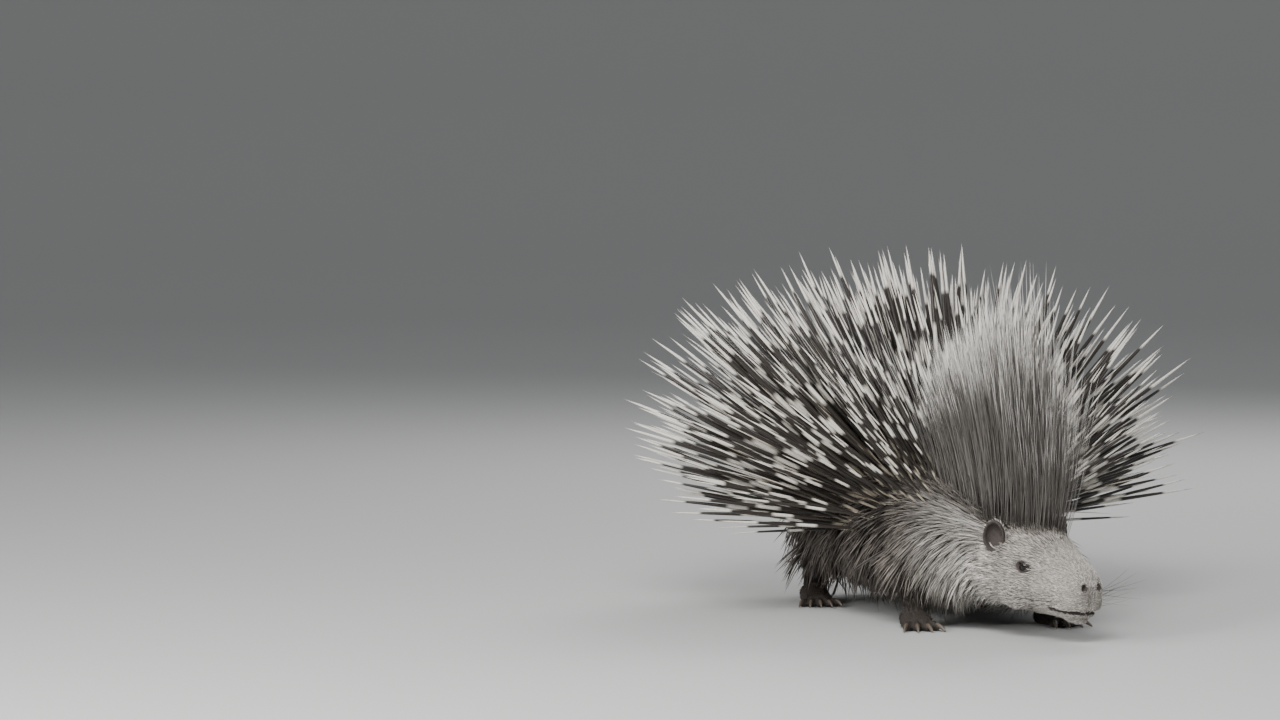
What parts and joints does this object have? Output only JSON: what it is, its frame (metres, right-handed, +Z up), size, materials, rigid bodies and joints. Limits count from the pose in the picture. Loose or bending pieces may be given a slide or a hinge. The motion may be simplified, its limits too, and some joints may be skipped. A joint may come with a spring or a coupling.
{
  "type": "porcupine",
  "caption": "Crested porcupine as a still, life-size model, standing low with its head near the floor and its banded quills and crest raised.",
  "frame": {"origin": "on the floor, below the middle of the model's bounding box", "axes": "+X the way the body faces, +Y the animal's left, +Z up"},
  "size_m": [0.8468, 0.7372, 0.4717],
  "materials": {
    "quills": "banded black and white quills over a coat of dark bristles",
    "bristles": "dark brown coarse bristles and fur",
    "crest": "a crest of long bristles, dark at the base with greyish white ends",
    "face": "short greyish brown hair",
    "skin": "bare or thinly haired dark skin, with horn claws",
    "eye": "wet, glossy and almost black"
  },
  "bodies": {
    "root": {"torso": "quills", "neck": "crest", "head": "face", "tail": "quills", "ear_left": "skin", "ear_right": "skin", "eye_left": "eye", "eye_right": "eye", "foreleg_left": "bristles", "foreleg_right": "bristles", "forefoot_left": "skin", "forefoot_right": "skin", "hindleg_left": "bristles", "hindleg_right": "bristles", "hindfoot_left": "skin", "hindfoot_right": "skin"}
  },
  "joints": []
}
